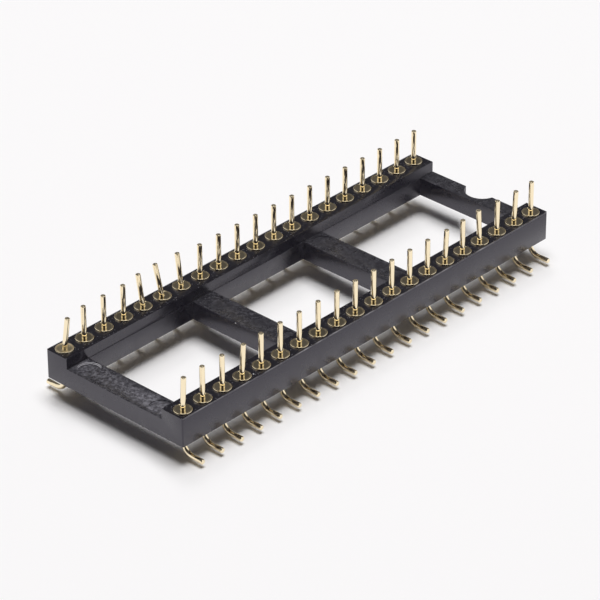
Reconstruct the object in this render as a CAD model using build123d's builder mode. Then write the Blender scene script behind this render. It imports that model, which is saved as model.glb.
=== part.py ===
from build123d import *
import os

os.makedirs("parts", exist_ok=True)

# A two-row round-pin header with surface-mount tails on an open moulded carrier, in millimetres.
# X runs along the rows, Y across them, and Z is up from the plane that the solder feet stand on.

# Pin grid
pitch = 2.54
pins_per_row = 20
row_spacing = 15.24

# Collar of a turned pin, sunk into the top of the rail
pin_diameter = 0.5
pin_length = 3.35  # above the collar
tip_chamfer = 0.1
collar_diameter = 1.78
collar_sink = 0.2
collar_stand = 0.1  # how far the collar stands out of the rail
rim_width = 0.12
rim_slope = 0.08  # from the rim down to the flat face round the pin
dish_depth = 0.05

# Barrel of the pin, pressed into the rail
barrel_diameter = 1.3
barrel_recess = 0.15  # from the underside of the carrier up to the end of the barrel

# Clearances of the pin in its hole
collar_clearance = 0.03
barrel_clearance = 0.01

# Solder tail, bent outwards like a gull's wing
tail_diameter = 0.52
tail_drop = 0.34  # straight stretch below the carrier, before the bend
tail_overhang = 1.3  # from the side of the carrier to the tip of the foot
stand_off = 1.8  # from the foot plane up to the underside of the carrier

# Moulded carrier
carrier_height = 3.0
side_wall = 0.21  # plastic left between a collar and the side of the carrier
end_wall = 0.28  # and between the last collar and the end of the carrier
inner_wall = 0.65  # and between a collar and the windows
cross_bar_width = 2.7
plain_bar_width = 2.8
notched_bar_width = 1.9
cross_bar_spacing = 15.24
bar_recess = 1.1  # from the top of the rails down to the bars
wall_ledge = 0.06  # the rails' inner walls are set back above the bars
corner_radius = 0.15

# Polarity notch in the thin end bar
notch_radius = 1.75
notch_wall = 0.6  # what the notch leaves of the bar

# Round marks that the ejector pins leave on the wide bars
mark_margin = 0.25  # from the mark to the edges of its bar and to the rail
mark_depth = 0.06

# Pins that are bent over: how far the tip has moved along X and along Y
bent_tips = {
    "pin_14": (0.0, 0.44),
    "pin_15": (-0.26, 0.56),
    "pin_16": (-0.15, 0.38),
    "pin_20": (0.08, -0.44),
    "pin_21": (0.08, -0.09),
    "pin_24": (0.1, -0.11),
    "pin_35": (0.08, -0.08),
    "pin_37": (-0.1, 0.12),
    "pin_39": (0.09, -0.09),
}

# Plan sizes, worked out from the pins and the walls round them
seat_radius = collar_diameter / 2 + collar_clearance
row_length = pitch * (pins_per_row - 1)
carrier_length = row_length + 2 * (seat_radius + end_wall)
carrier_width = row_spacing + 2 * (seat_radius + side_wall)
window_width = row_spacing - 2 * (seat_radius + inner_wall)

# Heights
carrier_top = stand_off + carrier_height
bar_top = carrier_top - bar_recess
collar_top = carrier_top + collar_stand
collar_bottom = carrier_top - collar_sink
barrel_bottom = stand_off + barrel_recess

# Tail centre line
foot_centre = tail_diameter / 2
bend_radius = stand_off - tail_drop - foot_centre
tail_reach = seat_radius + side_wall + tail_overhang

# Places along the length where the bars and the windows meet
plain_bar_edge = plain_bar_width - carrier_length / 2
notched_bar_edge = carrier_length / 2 - notched_bar_width
cross_bar_outer = cross_bar_spacing / 2 + cross_bar_width / 2
cross_bar_inner = cross_bar_spacing / 2 - cross_bar_width / 2
windows = [
    (plain_bar_edge, -cross_bar_outer),
    (-cross_bar_inner, cross_bar_inner),
    (cross_bar_outer, notched_bar_edge),
]
marked_bars = [
    (plain_bar_edge - plain_bar_width / 2, plain_bar_width),
    (-cross_bar_spacing / 2, cross_bar_width),
    (cross_bar_spacing / 2, cross_bar_width),
]


def pin_places():
    """Name, place and outward side of each pin, counted round the carrier from the notch."""
    places = []
    for step in range(pins_per_row):
        places.append((row_length / 2 - step * pitch, row_spacing / 2, 1))
    for step in range(pins_per_row):
        places.append((step * pitch - row_length / 2, -row_spacing / 2, -1))
    return [(f"pin_{number:02d}", *place) for number, place in enumerate(places, start=1)]


def open_carrier():
    """The moulding: two rails for the pins, joined by two end bars and two cross bars."""
    with BuildPart() as carrier:
        with BuildSketch(Plane.XY.offset(stand_off)):
            Rectangle(carrier_length, carrier_width)
            for start, end in windows:
                with Locations(((start + end) / 2, 0)):
                    Rectangle(end - start, window_width, mode=Mode.SUBTRACT)
        extrude(amount=carrier_height)

        # The bars lie lower than the rails
        with BuildSketch(Plane.XY.offset(bar_top)):
            Rectangle(carrier_length, window_width + 2 * wall_ledge)
        extrude(amount=bar_recess, mode=Mode.SUBTRACT)

        # Polarity notch
        with BuildSketch(Plane.XY.offset(stand_off)):
            with Locations((notched_bar_edge + notch_wall + notch_radius, 0)):
                Circle(notch_radius)
        extrude(amount=carrier_height, mode=Mode.SUBTRACT)

        # Ejector marks, a pair on each wide bar
        with BuildSketch(Plane.XY.offset(bar_top)):
            for middle, width in marked_bars:
                mark_radius = width / 2 - mark_margin
                mark_place = window_width / 2 - mark_margin - mark_radius
                with Locations((middle, mark_place), (middle, -mark_place)):
                    Circle(mark_radius)
        extrude(amount=-mark_depth, mode=Mode.SUBTRACT)

        # Softened corners
        upright_edges = carrier.edges().filter_by(Axis.Z)
        corners = upright_edges.group_by(lambda edge: abs(edge.center().X * edge.center().Y))[-1]
        fillet(corners, corner_radius)

        # Stepped hole for each pin: a seat for the collar and a bore for the barrel
        with Locations(*[(x, y, carrier_top) for name, x, y, side in pin_places()]):
            CounterBoreHole(
                radius=barrel_diameter / 2 + barrel_clearance,
                counter_bore_radius=seat_radius,
                counter_bore_depth=collar_sink,
            )
    return carrier


def turned_pin(name, x, y, side):
    """One pin: upright pin, collar and barrel turned in one piece with the tail that is bent outwards."""
    # A plane through the pin's axis, with its X pointing out of the carrier and its Y up
    pin_plane = Plane((x, y, 0), x_dir=(0, side, 0), z_dir=(side, 0, 0))

    with BuildPart() as pin:
        # Collar with a dished face, and the barrel below it
        with BuildSketch(pin_plane):
            with BuildLine():
                Polyline(
                    (0, collar_top - dish_depth),
                    (collar_diameter / 2 - rim_width - rim_slope, collar_top - dish_depth),
                    (collar_diameter / 2 - rim_width, collar_top),
                    (collar_diameter / 2, collar_top),
                    (collar_diameter / 2, collar_bottom),
                    (barrel_diameter / 2, collar_bottom),
                    (barrel_diameter / 2, barrel_bottom),
                    (0, barrel_bottom),
                    close=True,
                )
            make_face()
        revolve(axis=Axis((x, y, 0), (0, 0, 1)))

        # Upright pin, rooted in the collar and leaning where it was bent
        lean_x, lean_y = bent_tips.get(name, (0, 0))
        with BuildSketch(Plane((x, y, collar_bottom), z_dir=(lean_x, lean_y, pin_length))):
            Circle(pin_diameter / 2)
        extrude(amount=collar_top - collar_bottom + pin_length)
        tip = pin.edges().filter_by(GeomType.CIRCLE).sort_by(Axis.Z)[-1]
        chamfer(tip, tip_chamfer)

        # Tail: down out of the carrier, round the bend and out along the foot
        with BuildLine(pin_plane) as tail_line:
            FilletPolyline(
                (0, barrel_bottom),
                (0, foot_centre),
                (tail_reach, foot_centre),
                radius=bend_radius,
            )
        with BuildSketch(Plane((x, y, barrel_bottom))):
            Circle(tail_diameter / 2)
        sweep(path=tail_line.line)
    return pin


carrier = open_carrier()
carrier.part.label = "carrier"
export_step(carrier.part, "parts/carrier.step")

for name, x, y, side in pin_places():
    pin = turned_pin(name, x, y, side)
    pin.part.label = name
    export_step(pin.part, f"parts/{name}.step")
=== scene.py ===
import math

import bmesh
import bpy
from mathutils import Euler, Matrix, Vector


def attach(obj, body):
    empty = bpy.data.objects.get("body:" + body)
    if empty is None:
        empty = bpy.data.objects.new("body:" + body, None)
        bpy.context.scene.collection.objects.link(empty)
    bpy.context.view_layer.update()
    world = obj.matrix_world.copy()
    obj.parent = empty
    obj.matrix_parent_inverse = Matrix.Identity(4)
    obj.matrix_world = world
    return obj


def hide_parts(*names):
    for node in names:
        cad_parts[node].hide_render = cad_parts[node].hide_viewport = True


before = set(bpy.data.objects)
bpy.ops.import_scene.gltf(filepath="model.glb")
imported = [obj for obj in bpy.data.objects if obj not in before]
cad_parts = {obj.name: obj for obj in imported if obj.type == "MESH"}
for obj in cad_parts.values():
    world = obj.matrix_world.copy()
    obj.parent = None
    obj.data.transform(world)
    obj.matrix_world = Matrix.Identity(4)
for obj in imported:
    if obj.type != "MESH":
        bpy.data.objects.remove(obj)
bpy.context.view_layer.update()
print("frame loaded,", len(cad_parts), "solids")

mm = 0.001  # sizes below are in millimetres, and scaled where they are used


def addObject(name, data):
    item = bpy.data.objects.new(name, data)
    bpy.context.scene.collection.objects.link(item)
    return item


# Camera, fitted to the forty pins of the photo

camera = {
    "place": (-215.71, -201.87, 180.66),
    "turn": (58.894, 0.231, -46.950),
    "lens": 218.03,
    "clip": (0.01, 20.0),  # metres
}


def makeCamera(look):
    data = bpy.data.cameras.new("photoCamera")
    data.lens = look["lens"]
    data.clip_start, data.clip_end = look["clip"]
    photoCamera = addObject("photoCamera", data)
    photoCamera.location = Vector(look["place"]) * mm
    photoCamera.rotation_euler = Euler([math.radians(angle) for angle in look["turn"]])
    bpy.context.scene.camera = photoCamera
    bpy.context.scene.view_settings.view_transform = "Standard"
    print("camera placed")


makeCamera(camera)


# Helpers for node trees

def feed(tree, socket, value):
    if isinstance(value, bpy.types.NodeSocket):
        tree.links.new(value, socket)
    else:
        socket.default_value = value


def addNode(tree, kind, feeds=None, **settings):
    node = tree.nodes.new(kind)
    for key, value in settings.items():
        setattr(node, key, value)
    for name, value in (feeds or {}).items():
        feed(tree, node.inputs[name], value)
    return node


def sums(tree, operation, *values):
    node = tree.nodes.new("ShaderNodeMath")
    node.operation = operation
    for place, value in enumerate(values):
        feed(tree, node.inputs[place], value)
    return node.outputs[0]


def plus(tree, first, second):
    return sums(tree, "ADD", first, second)


def minus(tree, first, second):
    return sums(tree, "SUBTRACT", first, second)


def times(tree, first, *others):
    for other in others:
        first = sums(tree, "MULTIPLY", first, other)
    return first


def vectorOf(tree, x=0.0, y=0.0, z=0.0):
    return addNode(tree, "ShaderNodeCombineXYZ", {"X": x, "Y": y, "Z": z}).outputs[0]


def vectorSums(tree, operation, *values):
    node = addNode(tree, "ShaderNodeVectorMath", dict(enumerate(values)), operation=operation)
    return node.outputs


def ramp(tree, value, low, high, start=0.0, end=1.0):
    # start up to low, end from high on, and a straight slope between them
    return addNode(tree, "ShaderNodeMapRange", {
        "Value": value, "From Min": low, "From Max": high, "To Min": start, "To Max": end,
    }).outputs[0]


def within(tree, value, reach, soft):
    # one up to a reach and nothing beyond it, with a soft end
    return ramp(tree, value, reach - soft, reach + soft, 1.0, 0.0)


def between(tree, value, low, high, soft):
    # one inside a range and nothing outside it, with soft ends
    rising = ramp(tree, value, low - soft, low + soft)
    return times(tree, rising, within(tree, value, high, soft))


# Turned pins: one tree makes the upright, the collar and the bent tail, and sets them on the grid

pins = {
    "pitch": 2.54,
    "perRow": 20,
    "rowSpacing": 15.24,
    "sizes": {
        "Pin Diameter": 0.5,
        "Pin Root": 4.6,
        "Pin Reach": 3.645,
        "Tip Rounding": 0.07,
        "Tip Dimple": 0.025,
        "Collar Diameter": 1.78,
        "Collar Bottom": 4.6,
        "Collar Top": 4.9,
        "Rim Width": 0.12,
        "Dish Depth": 0.05,
        "Barrel Diameter": 1.3,
        "Barrel Bottom": 1.95,
        "Tail Diameter": 0.52,
        "Tail Reach": 2.43,
        "Bend Radius": 1.2,
    },
    "ringSides": 32,
    "tailSides": 24,
    "bendSteps": 14,
    "sharpFrom": 38.0,
    "toneSeed": 7,
    "tipCurve": ((0.009, 0.62), (0.032, 0.22)),  # in from the side, and the share of the rounding left above
    "dimple": (0.085, 0.06),  # radius at its edge and at its floor
    "barrelBreak": 0.05,
    "collarBreak": 0.02,
    # in from the rim or the inner rim, then down from the top, or for the dish up from its floor
    "rimCurve": ((0.0, 0.055), (0.008, 0.028), (0.026, 0.008), (0.05, 0.0)),
    "slopeCurve": ((-0.04, 0.0), (-0.016, 0.006), (0.0, 0.018), (0.03, 0.037)),
    "dishCurve": ((0.08, 0.005), (0.16, 0.0)),
    "dishMiddle": (0.15, 0.03),  # out from the upright
    "tailStart": 0.1,  # inside the barrel
    "tailEnd": (0.05, 0.015),  # back from the tip, where the cut end narrows
    "tailTaper": (0.986, 0.86),  # where along the tail it starts, and what is left at the tip
    "lengthAboveCollar": 3.35,
    "lean": {  # how far the tip of each bent pin has moved, along the row and across it
        14: (0.0, 0.44),
        15: (-0.26, 0.56),
        16: (-0.15, 0.38),
        20: (0.08, -0.44),
        21: (0.08, -0.09),
        24: (0.1, -0.11),
        35: (0.08, -0.08),
        37: (-0.1, 0.12),
        39: (0.09, -0.09),
    },
}


def switchByIndex(tree, kind, values):
    node = addNode(tree, "GeometryNodeIndexSwitch", data_type=kind)
    while len(node.index_switch_items) < len(values):
        node.index_switch_items.new()
    feed(tree, node.inputs["Index"], addNode(tree, "GeometryNodeInputIndex").outputs[0])
    for place, value in enumerate(values):
        feed(tree, node.inputs[place + 1], value)
    return node.outputs[0]


def lineThrough(tree, places):
    row = addNode(tree, "GeometryNodeMeshLine", {"Count": len(places)}, mode="OFFSET").outputs[0]
    bent = addNode(tree, "GeometryNodeSetPosition",
                   {"Geometry": row, "Position": switchByIndex(tree, "VECTOR", places)}).outputs[0]
    return addNode(tree, "GeometryNodeMeshToCurve", {"Mesh": bent}).outputs[0]


def circleOf(tree, sides, radius):
    return addNode(tree, "GeometryNodeCurvePrimitiveCircle", {"Resolution": sides, "Radius": radius}).outputs[0]


def turned(tree, outline, sides):
    # outline holds (radius, height) pairs from the axis at the bottom to the axis at the top
    hub = 0.001 * mm  # the outline is carried round a tiny ring, and the ends are welded shut after
    weld = 0.003 * mm
    places = []
    for radius, height in outline:
        places.append(vectorOf(tree, x=minus(tree, radius, hub), y=times(tree, height, -1.0)))
    profile = lineThrough(tree, places)
    ring = circleOf(tree, sides, hub)
    upRing = addNode(tree, "GeometryNodeSetCurveNormal", {"Curve": ring}, mode="Z_UP").outputs[0]
    shell = addNode(tree, "GeometryNodeCurveToMesh", {"Curve": upRing, "Profile Curve": profile}).outputs[0]
    outwards = addNode(tree, "GeometryNodeFlipFaces", {"Mesh": shell}).outputs[0]
    return addNode(tree, "GeometryNodeMergeByDistance", {"Geometry": outwards, "Distance": weld}).outputs[0]


def uprightShape(tree, setup, radius, given):
    # from its root inside the collar to the rounded tip with its cut-off dimple
    reach, rounding = given["Pin Reach"], given["Tip Rounding"]
    edge, floor = setup["dimple"]
    outline = [(0.0, 0.0), (radius, 0.0), (radius, minus(tree, reach, rounding))]
    for inwards, share in setup["tipCurve"]:
        outline.append((minus(tree, radius, inwards * mm), minus(tree, reach, times(tree, rounding, share))))
    outline += [
        (minus(tree, radius, rounding), reach),
        (edge * mm, reach),
        (floor * mm, minus(tree, reach, given["Tip Dimple"])),
        (0.0, minus(tree, reach, given["Tip Dimple"])),
    ]
    return turned(tree, outline, setup["ringSides"])


def collarShape(tree, setup, radius, rim, barrel, given):
    # collar with a rolled rim and a dished face, and the barrel under it
    top, bottom, foot = given["Collar Top"], given["Collar Bottom"], given["Barrel Bottom"]
    innerRim = minus(tree, rim, given["Rim Width"])
    floorOfDish = minus(tree, top, given["Dish Depth"])
    barrelBreak, collarBreak = setup["barrelBreak"] * mm, setup["collarBreak"] * mm
    outline = [
        (0.0, foot),
        (minus(tree, barrel, barrelBreak), foot),
        (barrel, plus(tree, foot, barrelBreak)),
        (barrel, bottom),
        (minus(tree, rim, collarBreak), bottom),
        (rim, plus(tree, bottom, collarBreak)),
    ]
    for start, curve in ((rim, setup["rimCurve"]), (innerRim, setup["slopeCurve"])):
        for inwards, down in curve:
            outline.append((minus(tree, start, inwards * mm), minus(tree, top, down * mm)))
    for inwards, up in setup["dishCurve"]:
        outline.append((minus(tree, innerRim, inwards * mm), plus(tree, floorOfDish, up * mm)))
    for out in setup["dishMiddle"]:
        outline.append((plus(tree, radius, out * mm), floorOfDish))
    outline.append((0.0, floorOfDish))
    return turned(tree, outline, setup["ringSides"])


def tailShape(tree, setup, wire, given):
    # down out of the barrel, round the bend and out along the foot, its cut end slightly broken
    out = given["Tail Reach"]
    places = [
        vectorOf(tree, z=plus(tree, given["Barrel Bottom"], setup["tailStart"] * mm)),
        vectorOf(tree, z=wire),
    ]
    places += [vectorOf(tree, y=minus(tree, out, back * mm), z=wire) for back in setup["tailEnd"]]
    places.append(vectorOf(tree, y=out, z=wire))
    rounded = addNode(tree, "GeometryNodeFilletCurve", {
        "Curve": lineThrough(tree, places), "Count": setup["bendSteps"],
        "Radius": given["Bend Radius"], "Limit Radius": True,
    }, mode="POLY").outputs[0]
    taperFrom, tipScale = setup["tailTaper"]
    along = addNode(tree, "GeometryNodeSplineParameter").outputs["Factor"]
    return addNode(tree, "GeometryNodeCurveToMesh", {
        "Curve": rounded, "Profile Curve": circleOf(tree, setup["tailSides"], wire),
        "Scale": ramp(tree, along, taperFrom, 1.0, 1.0, tipScale), "Fill Caps": True,
    }).outputs[0]


def storeNumber(tree, geometry, name, value):
    return addNode(tree, "GeometryNodeStoreNamedAttribute",
                   {"Geometry": geometry, "Name": name, "Value": value},
                   data_type="FLOAT", domain="POINT").outputs[0]


def storedVector(tree, name):
    return addNode(tree, "GeometryNodeInputNamedAttribute", {"Name": name}, data_type="FLOAT_VECTOR").outputs[0]


def pinTree(setup, material):
    tree = bpy.data.node_groups.new("turnedPins", "GeometryNodeTree")
    tree.interface.new_socket("Geometry", in_out="INPUT", socket_type="NodeSocketGeometry")
    for name, value in setup["sizes"].items():
        socket = tree.interface.new_socket(name, in_out="INPUT", socket_type="NodeSocketFloat")
        socket.default_value = value * mm
    seed = tree.interface.new_socket("Tone Seed", in_out="INPUT", socket_type="NodeSocketInt")
    seed.default_value = setup["toneSeed"]
    tree.interface.new_socket("Geometry", in_out="OUTPUT", socket_type="NodeSocketGeometry")
    given = tree.nodes.new("NodeGroupInput").outputs

    radius, rim = times(tree, given["Pin Diameter"], 0.5), times(tree, given["Collar Diameter"], 0.5)
    barrel, wire = times(tree, given["Barrel Diameter"], 0.5), times(tree, given["Tail Diameter"], 0.5)
    upright = uprightShape(tree, setup, radius, given)
    collar = collarShape(tree, setup, radius, rim, barrel, given)
    tail = tailShape(tree, setup, wire, given)

    # what the plating needs to know: distance from the axis, and a tone of its own for each pin
    here = addNode(tree, "GeometryNodeInputPosition").outputs[0]
    flat = vectorSums(tree, "MULTIPLY", here, (1.0, 1.0, 0.0))["Vector"]
    fromAxis = vectorSums(tree, "LENGTH", flat)["Value"]
    tone = addNode(tree, "FunctionNodeRandomValue", {"Seed": given["Tone Seed"]}, data_type="FLOAT").outputs[1]
    points = storeNumber(tree, given["Geometry"], "tone", tone)
    raised = addNode(tree, "GeometryNodeSetPosition",
                     {"Geometry": points, "Offset": vectorOf(tree, z=given["Pin Root"])}).outputs[0]

    leaning, outward = storedVector(tree, "lean"), storedVector(tree, "outward")
    joined = tree.nodes.new("GeometryNodeJoinGeometry")
    for shape, places, axis, pivot, aim in (
        (upright, raised, "Z", "AUTO", leaning),
        (collar, points, "Y", "Z", outward),
        (tail, points, "Y", "Z", outward),
    ):
        known = storeNumber(tree, shape, "fromAxis", fromAxis)
        turn = addNode(tree, "FunctionNodeAlignRotationToVector", {"Vector": aim}, axis=axis,
                       pivot_axis=pivot).outputs[0]
        placed = addNode(tree, "GeometryNodeInstanceOnPoints",
                         {"Points": places, "Instance": known, "Rotation": turn}).outputs[0]
        tree.links.new(placed, joined.inputs[0])
    whole = addNode(tree, "GeometryNodeRealizeInstances", {"Geometry": joined.outputs[0]}).outputs[0]
    smooth = addNode(tree, "GeometryNodeSetShadeSmooth", {"Geometry": whole}).outputs[0]
    plated = addNode(tree, "GeometryNodeSetMaterial", {"Geometry": smooth, "Material": material}).outputs[0]
    tree.links.new(plated, tree.nodes.new("NodeGroupOutput").inputs[0])
    return tree


def plainMesh(source, name):
    # the evaluated object as a plain mesh, with no modifier left on it
    seen = source.evaluated_get(bpy.context.evaluated_depsgraph_get())
    mesh = bpy.data.meshes.new_from_object(seen)
    mesh.name = name
    bpy.data.objects.remove(source)
    return addObject(name, mesh)


def makePins(setup, material):
    count = setup["perRow"]
    span = setup["pitch"] * (count - 1) / 2
    places, leans, outwards = [], [], []
    for number in range(1, 2 * count + 1):
        far = number <= count
        step = number - 1 if far else 2 * count - number
        side = 1 if far else -1
        leanX, leanY = setup["lean"].get(number, (0.0, 0.0))
        places.append((mm * (span - step * setup["pitch"]), mm * side * setup["rowSpacing"] / 2, 0.0))
        leans.append((leanX, leanY, setup["lengthAboveCollar"]))
        outwards.append((0.0, side, 0.0))
    grid = bpy.data.meshes.new("pinGrid")
    grid.from_pydata(places, [], [])
    for name, values in (("lean", leans), ("outward", outwards)):
        attribute = grid.attributes.new(name, "FLOAT_VECTOR", "POINT")
        for place, value in enumerate(values):
            attribute.data[place].vector = value
    holder = addObject("pinGrid", grid)
    modifier = holder.modifiers.new("turnedPins", "NODES")
    modifier.node_group = pinTree(setup, material)
    for socket in modifier.node_group.interface.items_tree:
        if socket.in_out == "INPUT" and socket.name in setup["sizes"]:
            modifier[socket.identifier] = setup["sizes"][socket.name] * mm
    piece = plainMesh(holder, "turned_pins")
    piece.data.set_sharp_from_angle(angle=math.radians(setup["sharpFrom"]))
    print("pins turned,", len(piece.data.polygons), "faces")
    return piece


# Carrier: the solid's own shape with every edge slightly rounded, as it leaves the mould

carrier = {
    "edgeRounding": 0.02,
    "roundingSteps": 2,
    "sharpFrom": 28.0,
    "barRounding": 0.12,
    "barSteps": 4,
    "barTop": 3.7,
    "roundedBars": ((-25.33, 1.0), (-8.97, 0.6), (6.27, 0.6)),  # front edge, and its share of the rounding
    "weld": 0.002,
    "flatWithin": 1.0,  # degrees
}


def makeCarrier(setup, material):
    shape = bmesh.new()
    shape.from_mesh(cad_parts["carrier"].data)
    bmesh.ops.remove_doubles(shape, verts=shape.verts, dist=setup["weld"] * mm)
    bmesh.ops.dissolve_limit(shape, angle_limit=math.radians(setup["flatWithin"]),
                             verts=shape.verts, edges=shape.edges)
    weights = shape.edges.layers.float.new("bevel_weight_edge")
    close = 0.01 * mm
    for edge in shape.edges:
        start, end = (corner.co for corner in edge.verts)
        middle = (start + end) / 2
        crossways = abs(start.x - end.x) < close
        onTop = abs(middle.z - setup["barTop"] * mm) < close
        for place, share in setup["roundedBars"]:
            if crossways and onTop and abs(middle.x - place * mm) < 2 * close:
                edge[weights] = share
    mesh = bpy.data.meshes.new("carrierShape")
    shape.to_mesh(mesh)
    shape.free()
    mesh.materials.clear()
    mesh.materials.append(material)
    for face in mesh.polygons:
        face.material_index = 0
        face.use_smooth = True
    holder = addObject("carrierShape", mesh)
    worn = holder.modifiers.new("wornBars", "BEVEL")
    worn.width = setup["barRounding"] * mm
    worn.segments = setup["barSteps"]
    worn.limit_method = "WEIGHT"
    worn.harden_normals = True
    bevel = holder.modifiers.new("softEdges", "BEVEL")
    bevel.width = setup["edgeRounding"] * mm
    bevel.segments = setup["roundingSteps"]
    bevel.limit_method = "ANGLE"
    bevel.angle_limit = math.radians(setup["sharpFrom"])
    bevel.use_clamp_overlap = True
    bevel.harden_normals = True
    piece = plainMesh(holder, "moulded_carrier")
    print("carrier shaped,", len(piece.data.polygons), "faces")
    return piece


# Shared effects, with their sizes in millimetres

def shaderGroup(name, inputs, outputs):
    tree = bpy.data.node_groups.new(name, "ShaderNodeTree")
    tree.interface.new_socket("Vector", in_out="INPUT", socket_type="NodeSocketVector")
    for label, value in inputs.items():
        tree.interface.new_socket(label, in_out="INPUT", socket_type="NodeSocketFloat").default_value = value
    for label in outputs:
        tree.interface.new_socket(label, in_out="OUTPUT", socket_type="NodeSocketFloat")
    return tree, tree.nodes.new("NodeGroupInput").outputs, tree.nodes.new("NodeGroupOutput").inputs


def noiseOf(tree, vector, size, detail, roughness=0.5, distortion=0.0):
    return addNode(tree, "ShaderNodeTexNoise", {
        "Vector": vector, "Scale": sums(tree, "DIVIDE", 1 / mm, size), "Detail": detail,
        "Roughness": roughness, "Distortion": distortion,
    }).outputs[0]


surfaceGrain = {
    "fine": {"detail": 4.0, "roughness": 0.6},
    "broad": {"detail": 3.0},
    "patches": (0.35, 0.65),
}
scuffMarks = {
    "wander": {"detail": 2.0, "distortion": 1.6},
    "lineWidth": (0.012, 0.045),
    "lineShare": 0.7,
    "broad": {"detail": 5.0, "roughness": 0.65, "distortion": 0.5},
    "patches": (0.46, 0.66),
    "linesWithin": (0.38, 0.52),  # the lines reach a little beyond the patches
}
scatteredPits = {"dotSize": (0.2, 0.42)}


def makeGrain(look):
    # fine unevenness of a surface: a height, and broad soft patches
    tree, given, result = shaderGroup("surfaceGrain", {"Fine Size": 0.05, "Broad Size": 1.0},
                                      ["Height", "Patches"])
    feed(tree, result["Height"], noiseOf(tree, given["Vector"], given["Fine Size"], **look["fine"]))
    broad = noiseOf(tree, given["Vector"], given["Broad Size"], **look["broad"])
    feed(tree, result["Patches"], ramp(tree, broad, *look["patches"]))
    return tree


def makeScuffs(look):
    # marks of rubbing: thin wandering lines, and ragged patches
    tree, given, result = shaderGroup("scuffMarks", {"Line Size": 0.3, "Patch Size": 0.8},
                                      ["Lines", "Patches"])
    wander = noiseOf(tree, given["Vector"], given["Line Size"], **look["wander"])
    lines = ramp(tree, sums(tree, "ABSOLUTE", minus(tree, wander, 0.5)), *look["lineWidth"], 1.0, 0.0)
    broad = noiseOf(tree, given["Vector"], given["Patch Size"], **look["broad"])
    where = ramp(tree, broad, *look["linesWithin"])
    feed(tree, result["Lines"], times(tree, where, look["lineShare"], lines))
    feed(tree, result["Patches"], ramp(tree, broad, *look["patches"]))
    return tree


def makePits(look):
    # small scattered dots, each on its own cell
    tree, given, result = shaderGroup("scatteredPits", {"Spacing": 0.2, "Share": 0.2}, ["Dots"])
    cells = addNode(tree, "ShaderNodeTexVoronoi", {
        "Vector": given["Vector"], "Scale": sums(tree, "DIVIDE", 1 / mm, given["Spacing"]),
    }).outputs
    lot = addNode(tree, "ShaderNodeSeparateColor", {"Color": cells["Color"]}).outputs[0]
    chosen = sums(tree, "LESS_THAN", lot, given["Share"])
    dots = ramp(tree, cells["Distance"], *look["dotSize"], 1.0, 0.0)
    feed(tree, result["Dots"], times(tree, dots, chosen))
    return tree


grainGroup = makeGrain(surfaceGrain)
scuffGroup = makeScuffs(scuffMarks)
pitGroup = makePits(scatteredPits)


def useGroup(tree, group, here, sizes):
    node = tree.nodes.new("ShaderNodeGroup")
    node.node_tree = group
    feed(tree, node.inputs["Vector"], here)
    for name, value in sizes.items():
        feed(tree, node.inputs[name], value)
    return node.outputs


def newMaterial(name):
    material = bpy.data.materials.new(name)
    material.use_nodes = True
    tree = material.node_tree
    tree.nodes.clear()
    shader = tree.nodes.new("ShaderNodeBsdfPrincipled")
    output = tree.nodes.new("ShaderNodeOutputMaterial")
    tree.links.new(shader.outputs[0], output.inputs[0])
    here = addNode(tree, "ShaderNodeTexCoord").outputs["Object"]
    return material, tree, shader, here


def mixed(tree, share, first, second):
    node = addNode(tree, "ShaderNodeMix", data_type="RGBA")
    feed(tree, node.inputs["Factor"], share)
    feed(tree, node.inputs[6], first)
    feed(tree, node.inputs[7], second)
    return node.outputs[2]


def distanceTo(tree, here, place):
    return vectorSums(tree, "DISTANCE", here, Vector(place) * mm)["Value"]


def addBump(tree, shader, relief, distance, strength):
    bump = addNode(tree, "ShaderNodeBump", {"Height": relief, "Distance": distance * mm, "Strength": strength})
    tree.links.new(bump.outputs[0], shader.inputs["Normal"])


# Moulding compound

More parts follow.
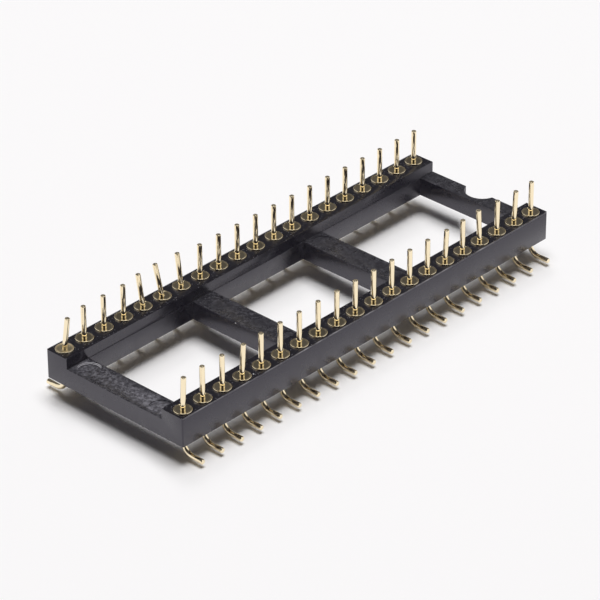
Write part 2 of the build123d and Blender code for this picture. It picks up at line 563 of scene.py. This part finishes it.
moulding = {
    "colour": (0.0125, 0.0115, 0.0185, 1.0),
    # painted shade: faces that point up get a darker colour than the sides
    "shadedTopColour": (0.006, 0.0056, 0.009, 1.0),
    "barColour": (0.016, 0.0155, 0.0195, 1.0),
    "scuffAndGlintColour": (0.2, 0.195, 0.22, 1.0),
    # painted highlight colour, for the ejector mark's far rim and the rails' outer edges
    "highlightColour": (0.42, 0.41, 0.44, 1.0),
    "sheenTint": (0.93, 0.89, 1.0, 1.0),
    "nickColour": (0.62, 0.62, 0.64, 1.0),
    "gloss": (0.22, 0.34),
    "scuffedDuller": 0.15,
    "refraction": 1.72,
    "pitting": 0.010,
    "pittingStrength": 0.6,
    "relief": (0.35, 1.5),  # how deep the pitting is off the tops, and how deep the rubbed marks are
    "facesUp": (0.7, 0.9),  # how far the normal points up
    "grain": {"Fine Size": 0.12, "Broad Size": 2.2},
    "scuffs": {"Line Size": 0.17, "Patch Size": 0.3},
    "pits": {"Spacing": 0.16, "Share": 0.16},
    "glints": 0.6,
    "railTop": 4.8,
    "barTop": 3.7,
    "outerEdge": 8.75,
    "scuffedTo": -22.4,  # the plain end bar carries most of the scuffs, and lies beyond this place
    "frontEdge": -25.33,
    "windowEdge": -22.53,
    "clearOfFront": (0.35, 0.75, 0.15),  # fewest scuffs up to, all of them from, and the share at the edge
    "clearOfWindow": (0.2, 0.8, 0.05),
    "edgeWaver": 0.5,
    "farRailShadeReach": 3.0,  # this far from the middle the bar top is lightest at the near end and darkest at the far end: painted shade of the dark far rail reflected there
    "crossBarScuffs": 0.3,
    "plainBarScuffs": (0.45, 0.2),  # at the far end, and what the near end has more
    "smear": (0.06, 0.14),
    "mark": {  # the ejector mark whose far rim carries a painted highlight
        "place": (-23.93, 4.65),
        "rim": (1.06, 1.22, 1.5),  # from, to and brightness
        "inner": (0.62, 0.7, 0.35),
        "towards": (0.75, 0.66),
        "fade": (0.2, 0.9),
    },
    # painted highlight along the outer top edges of the rails, partly worn flash
    "edgeLine": {"wide": 0.07, "deep": 0.06, "least": 0.08, "breaks": 1.5, "brightness": 0.75},
    "seam": {"below": (0.2, 0.12), "breaks": 0.5, "depth": 3.5},  # a faint line near the top of the sides
    "nicks": (((-15.55, -8.15, 4.8), 0.10), ((-9.0, 0.48, 3.68), 0.11)),
    "nickWaver": 0.06,
}


def mouldingMaterial(look):
    material, tree, shader, here = newMaterial("mouldingCompound")
    shader.inputs["IOR"].default_value = look["refraction"]
    shader.inputs["Specular Tint"].default_value = look["sheenTint"]
    grain = useGroup(tree, grainGroup, here, look["grain"])
    scuffs = useGroup(tree, scuffGroup, here, look["scuffs"])
    pits = useGroup(tree, pitGroup, here, look["pits"])
    parts = addNode(tree, "ShaderNodeSeparateXYZ", {"Vector": here}).outputs
    normal = addNode(tree, "ShaderNodeNewGeometry").outputs["Normal"]
    upwards = addNode(tree, "ShaderNodeSeparateXYZ", {"Vector": normal}).outputs["Z"]
    facesUp = ramp(tree, upwards, *look["facesUp"])
    side = sums(tree, "ABSOLUTE", parts["Y"])
    railTop, barTop, outerEdge = look["railTop"], look["barTop"], look["outerEdge"]
    past = 0.1  # a mask for a face reaches this far past it

    def inside(value, low, high, soft):
        return between(tree, value, low * mm, high * mm, soft * mm)

    # rubbed tops: the plain end bar is scuffed except along its edges, the cross bars a little
    onBars = times(tree, facesUp, inside(parts["Z"], barTop - past, barTop + past, 0.01))
    onPlain = within(tree, parts["X"], look["scuffedTo"] * mm, 0.1 * mm)
    clearOfFarRailShade = ramp(tree, parts["Y"], look["farRailShadeReach"] * mm, -look["farRailShadeReach"] * mm)
    wavering = plus(tree, parts["X"], times(tree, minus(tree, grain["Patches"], 0.5), look["edgeWaver"] * mm))
    start, full, left = look["clearOfFront"]
    offFront = ramp(tree, wavering, (look["frontEdge"] + start) * mm, (look["frontEdge"] + full) * mm, left)
    start, full, left = look["clearOfWindow"]
    offWindow = ramp(tree, wavering, (look["windowEdge"] - full) * mm,
                     (look["windowEdge"] - start) * mm, 1.0, left)
    band = times(tree, onPlain, offFront, offWindow)

    # painted shade: the shares of scuffs and smear grow towards the near end, so the far end of the bar top
    # stays darker
    def withFarRailShade(far, more):
        return plus(tree, far, times(tree, clearOfFarRailShade, more))

    share = plus(tree, look["crossBarScuffs"], times(tree, band, withFarRailShade(*look["plainBarScuffs"])))
    marks = sums(tree, "MAXIMUM", scuffs["Lines"], scuffs["Patches"])
    scuffsAndGlints = plus(tree, times(tree, onBars, share, marks), times(tree, onBars, band, withFarRailShade(*look["smear"])))

    # painted highlight on the far rim of one ejector mark
    mark = look["mark"]
    flat = vectorOf(tree, x=parts["X"], y=parts["Y"])
    fromMark = distanceTo(tree, flat, (*mark["place"], 0.0))
    arcs = [times(tree, inside(fromMark, low, high, 0.03), bright)
            for low, high, bright in (mark["rim"], mark["inner"])]
    middle = sum(a * b for a, b in zip(mark["towards"], mark["place"]))
    farSide = vectorSums(tree, "DOT_PRODUCT", flat, (*mark["towards"], 0.0))["Value"]
    beyond = ramp(tree, farSide, *((middle + further) * mm for further in mark["fade"]))
    markHighlight = times(tree, onBars, beyond, plus(tree, *arcs))

    # painted glints in the pitted tops of the rails, and a broken painted highlight along their outer edges,
    # partly worn flash there
    onRails = times(tree, facesUp, inside(parts["Z"], railTop - 0.02, railTop + past, 0.005))
    # painted glints: lighter dots on the rail tops, put in with the scuffs
    scuffsAndGlints = sums(tree, "MAXIMUM", scuffsAndGlints, times(tree, onRails, pits["Dots"], look["glints"]))
    line = look["edgeLine"]
    edge = times(tree, inside(side, outerEdge - line["wide"], outerEdge + past, 0.02),
                 inside(parts["Z"], railTop - line["deep"], railTop + past, 0.02))
    edge = times(tree, edge, plus(tree, line["least"], sums(tree, "POWER", grain["Patches"], line["breaks"])))

    # painted shade: faces that point up take the darker top colour
    colour = mixed(tree, facesUp, look["colour"], look["shadedTopColour"])
    colour = mixed(tree, onBars, colour, look["barColour"])
    colour = mixed(tree, scuffsAndGlints, colour, look["scuffAndGlintColour"])
    # painted highlights: the far rim of the ejector mark and the outer rail edges are lightened
    bright = sums(tree, "MAXIMUM", markHighlight, times(tree, edge, line["brightness"]))
    colour = mixed(tree, bright, colour, look["highlightColour"])
    for place, size in look["nicks"]:
        waver = times(tree, grain["Height"], look["nickWaver"] * mm)
        ragged = plus(tree, distanceTo(tree, here, place), waver)
        colour = mixed(tree, within(tree, ragged, size * mm, 0.02 * mm), colour, look["nickColour"])
    tree.links.new(colour, shader.inputs["Base Color"])

    rough = ramp(tree, grain["Patches"], 0.0, 1.0, *look["gloss"])
    tree.links.new(plus(tree, rough, times(tree, scuffsAndGlints, look["scuffedDuller"])), shader.inputs["Roughness"])
    offTops, scratched = look["relief"]
    pitted = times(tree, grain["Height"], plus(tree, offTops, facesUp))
    relief = plus(tree, pitted, times(tree, scuffsAndGlints, scratched))
    seam = look["seam"]
    high, low = seam["below"]
    groove = times(tree, inside(parts["Z"], railTop - high, railTop - low, 0.02),
                   inside(side, outerEdge - 0.02, outerEdge + past, 0.005),
                   sums(tree, "POWER", grain["Patches"], seam["breaks"]), seam["depth"])
    addBump(tree, shader, minus(tree, relief, groove), look["pitting"], look["pittingStrength"])
    return material


# Plating

plating = {
    "colour": (0.98, 0.85, 0.60, 1.0),
    "rimColour": (0.88, 0.74, 0.48, 1.0),
    "shadedDishColour": (0.46, 0.40, 0.27, 1.0),
    "gloss": (0.03, 0.07),
    "slopeDuller": 0.16,
    "grain": {"Fine Size": 0.08, "Broad Size": 0.9},
    "dish": {"from": (0.27, 0.31), "to": (0.68, 0.73), "above": (4.75, 4.78)},
    "dishDepth": (0.55, 0.4),  # how much painted shade the dish takes, and how much each pin's own random tone adds
    "slope": (0.68, 0.80),
    "paleCollar": {"place": (-24.13, 7.62, 0.0), "reach": 0.9, "duller": 0.4},  # plain end, far corner
    "turningPitch": 0.04,
    "wavePeriod": 0.31,  # of the wave texture at scale one
    "turningDepth": 0.002,
    "turningStrength": 0.12,
    "turningFrom": (0.55, 0.6, 0.06),  # faint inside, full outside, and the share that is left inside
}


def platingMaterial(look):
    material, tree, shader, here = newMaterial("goldPlating")
    shader.inputs["Metallic"].default_value = 1.0
    grain = useGroup(tree, grainGroup, here, look["grain"])
    away = addNode(tree, "ShaderNodeAttribute", attribute_name="fromAxis").outputs["Fac"]
    tone = addNode(tree, "ShaderNodeAttribute", attribute_name="tone").outputs["Fac"]
    height = addNode(tree, "ShaderNodeSeparateXYZ", {"Vector": here}).outputs["Z"]

    def past(value, limits, *ends):
        low, high = limits
        return ramp(tree, value, low * mm, high * mm, *ends)

    ringIn = past(away, look["dish"]["from"])
    ringOut = past(away, look["dish"]["to"], 1.0, 0.0)
    inDish = past(height, look["dish"]["above"])
    low, high = look["slope"]
    onSlope = times(tree, between(tree, away, low * mm, high * mm, 0.02 * mm), inDish)
    least, added = look["dishDepth"]
    # painted shade: the dish floor of each collar is darkened, varied by each pin's random tone
    dish = times(tree, ringIn, ringOut, inDish, plus(tree, least, times(tree, tone, added)))

    # one collar is paler than the rest, and more matt
    one = look["paleCollar"]
    flat = vectorSums(tree, "MULTIPLY", here, (1.0, 1.0, 0.0))["Vector"]
    fromOne = distanceTo(tree, flat, one["place"])
    pale = times(tree, within(tree, fromOne, one["reach"] * mm, 0.02 * mm), inDish, ringIn)
    dish = times(tree, dish, minus(tree, 1.0, times(tree, pale, grain["Patches"])))

    colour = mixed(tree, onSlope, mixed(tree, dish, look["colour"], look["shadedDishColour"]), look["rimColour"])
    tree.links.new(colour, shader.inputs["Base Color"])
    rough = ramp(tree, grain["Patches"], 0.0, 1.0, *look["gloss"])
    duller = plus(tree, times(tree, onSlope, look["slopeDuller"]), times(tree, pale, one["duller"]))
    tree.links.new(plus(tree, rough, duller), shader.inputs["Roughness"])
    lines = addNode(tree, "ShaderNodeTexWave", {
        "Vector": here, "Scale": look["wavePeriod"] / (look["turningPitch"] * mm),
        "Distortion": 1.5, "Detail": 1.0,
    }, wave_type="BANDS", bands_direction="Z").outputs["Fac"]
    low, high, left = look["turningFrom"]
    onCollar = ramp(tree, away, low * mm, high * mm, left)
    relief = times(tree, onCollar, plus(tree, lines, grain["Height"]))
    addBump(tree, shader, relief, look["turningDepth"], look["turningStrength"])
    return material


# Floor and light

studio = {
    "floorColour": (0.955, 0.945, 0.95, 1.0),
    "floorDrop": 0.35,
    "floorReach": 4000.0,
    "roomColour": (0.045, 0.043, 0.043, 1.0),
    "wallColour": (0.13, 0.127, 0.13, 1.0),
    "wallTowards": (0.62, 0.59, 0.52),
    "wallSpread": (0.55, 0.95),
    "cardColour": (0.9, 0.89, 0.87, 1.0),  # white cards on two sides, which only the metal and the gloss show
    "cardsAlong": (0.683, -0.731, 0.0),
    "cardSpread": (0.6, 0.75),
    "lamps": (  # name, place, size, power, and whether it is mirrored in the object or only lights it
        ("overheadGleam", (25.0, -15.0, 1000.0), (500.0, 580.0), 2.2, True),
        ("overheadLight", (25.0, -15.0, 1000.0), (500.0, 580.0), 6.65, False),
        ("sideLight", (330.0, 470.0, 1000.0), (340.0, 340.0), 2.1, False),
    ),
}


def makeFloor(look):
    wide, low = look["floorReach"] * mm, -look["floorDrop"] * mm
    corners = [(-wide, -wide, low), (wide, -wide, low), (wide, wide, low), (-wide, wide, low)]
    ground = bpy.data.meshes.new("studioFloor")
    ground.from_pydata(corners, [], [(0, 1, 2, 3)])
    addObject("studioFloor", ground)

    # white from above, and clear from below
    paper = bpy.data.materials.new("whitePaper")
    paper.use_nodes = True
    tree = paper.node_tree
    tree.nodes.clear()
    sheet = addNode(tree, "ShaderNodeBsdfDiffuse", {"Color": look["floorColour"]})
    clear = addNode(tree, "ShaderNodeBsdfTransparent")
    under = addNode(tree, "ShaderNodeNewGeometry").outputs["Backfacing"]
    face = addNode(tree, "ShaderNodeMixShader", {0: under, 1: sheet.outputs[0], 2: clear.outputs[0]})
    output = tree.nodes.new("ShaderNodeOutputMaterial")
    tree.links.new(face.outputs[0], output.inputs[0])
    ground.materials.append(paper)


def makeRoom(look):
    world = bpy.data.worlds.new("studioWorld")
    world.use_nodes = True
    room = world.node_tree
    background = room.nodes["Background"]
    towards = addNode(room, "ShaderNodeTexCoord").outputs["Generated"]
    facing = vectorSums(room, "DOT_PRODUCT", towards, look["wallTowards"])["Value"]
    wall = ramp(room, facing, *look["wallSpread"])
    sideways = vectorSums(room, "DOT_PRODUCT", towards, look["cardsAlong"])["Value"]
    cards = ramp(room, sums(room, "ABSOLUTE", sideways), *look["cardSpread"])
    rays = addNode(room, "ShaderNodeLightPath").outputs
    shown = times(room, cards, sums(room, "MAXIMUM", rays["Is Glossy Ray"], rays["Is Transmission Ray"]))
    plain = mixed(room, wall, look["roomColour"], look["wallColour"])
    feed(room, background.inputs["Color"], mixed(room, shown, plain, look["cardColour"]))
    background.inputs["Strength"].default_value = 1.0
    bpy.context.scene.world = world


def makeLamps(look):
    for name, place, size, power, mirrored in look["lamps"]:
        data = bpy.data.lights.new(name, "AREA")
        data.shape = "RECTANGLE"
        data.size, data.size_y = (side * mm for side in size)
        data.energy = power
        light = addObject(name, data)
        light.location = Vector(place) * mm
        light.visible_glossy = mirrored
        light.rotation_euler = Vector(place).to_track_quat("Z", "Y").to_euler()


makeFloor(studio)
makeRoom(studio)
makeLamps(studio)
print("floor and light set")

platingStuff = platingMaterial(plating)
mouldingStuff = mouldingMaterial(moulding)

turnedPins = makePins(pins, platingStuff)
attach(turnedPins, "root")
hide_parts(*[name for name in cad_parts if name.startswith("pin_")])

mouldedCarrier = makeCarrier(carrier, mouldingStuff)
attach(mouldedCarrier, "root")
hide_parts("carrier")
